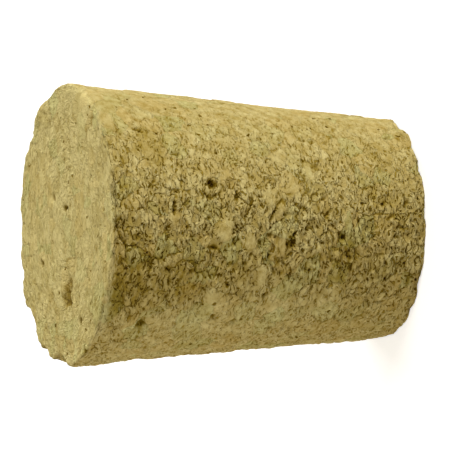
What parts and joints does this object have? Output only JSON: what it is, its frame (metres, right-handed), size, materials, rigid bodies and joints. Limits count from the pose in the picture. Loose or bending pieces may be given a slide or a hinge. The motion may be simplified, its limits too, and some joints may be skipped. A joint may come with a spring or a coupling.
{
  "type": "cork stopper",
  "caption": "Tapered agglomerated-cork stopper with flat sliced ends, worn edges and an open granular side, standing on its narrow end.",
  "frame": {"origin": "centre of the narrow end face, which the stopper stands on", "axes": "+Z along the stopper's axis, from the narrow end to the wide end; +X is the side that was rubbed smoothest, and the widest break in the wide edge is 174 degrees from it towards +Y"},
  "size_m": [0.025, 0.025, 0.0305],
  "materials": {
    "cork": "ground agglomerated cork, matte"
  },
  "bodies": {
    "root": {"stopper": "cork"}
  },
  "joints": []
}
